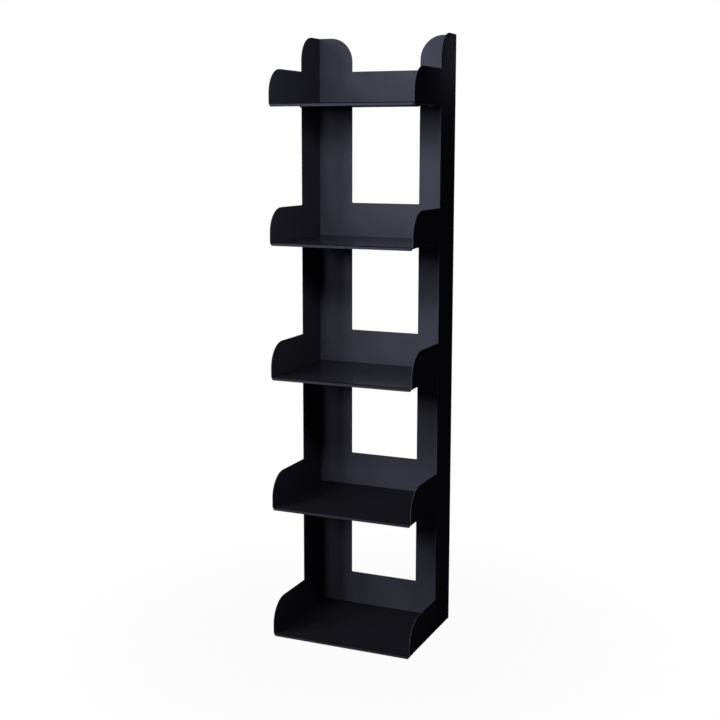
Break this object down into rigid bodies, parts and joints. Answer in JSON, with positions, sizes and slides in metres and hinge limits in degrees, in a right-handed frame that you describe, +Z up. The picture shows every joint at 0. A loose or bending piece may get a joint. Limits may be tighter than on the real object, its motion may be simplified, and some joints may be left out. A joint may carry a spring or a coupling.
{
  "type": "spine bookshelf",
  "caption": "Slim free-standing tower bookshelf of folded black sheet steel: rounded side cheeks on a narrow flanged spine, open back windows and lipped floors on folded ledges.",
  "frame": {"origin": "centre of the footprint on the ground, under the glides", "axes": "+Z up, -Y towards the open front, +X to the right as seen from the front"},
  "size_m": [0.35, 0.2712, 1.4186],
  "materials": {
    "powder_coat": "fine satin powder coat, bluish black",
    "black_zinc": "black passivated zinc plate",
    "nylon": "moulded black nylon",
    "brass": "machined"
  },
  "bodies": {
    "root": {"left_side_panel": "powder_coat", "right_side_panel": "powder_coat", "back_panel": "powder_coat", "shelf_floor_1": "powder_coat", "shelf_floor_2": "powder_coat", "shelf_floor_3": "powder_coat", "shelf_floor_4": "powder_coat", "shelf_floor_5": "powder_coat", "floor_studs_1": "black_zinc", "floor_studs_2": "black_zinc", "floor_studs_3": "black_zinc", "floor_studs_4": "black_zinc", "floor_studs_5": "black_zinc", "floor_nuts_1": "black_zinc", "floor_nuts_2": "black_zinc", "floor_nuts_3": "black_zinc", "floor_nuts_4": "black_zinc", "floor_nuts_5": "black_zinc", "back_studs_left": "black_zinc", "back_studs_right": "black_zinc", "back_nuts_left": "black_zinc", "back_nuts_right": "black_zinc", "glide_front_left": "nylon", "glide_front_right": "nylon", "glide_rear_left": "nylon", "glide_rear_right": "nylon", "glide_inserts": "brass"}
  },
  "joints": []
}
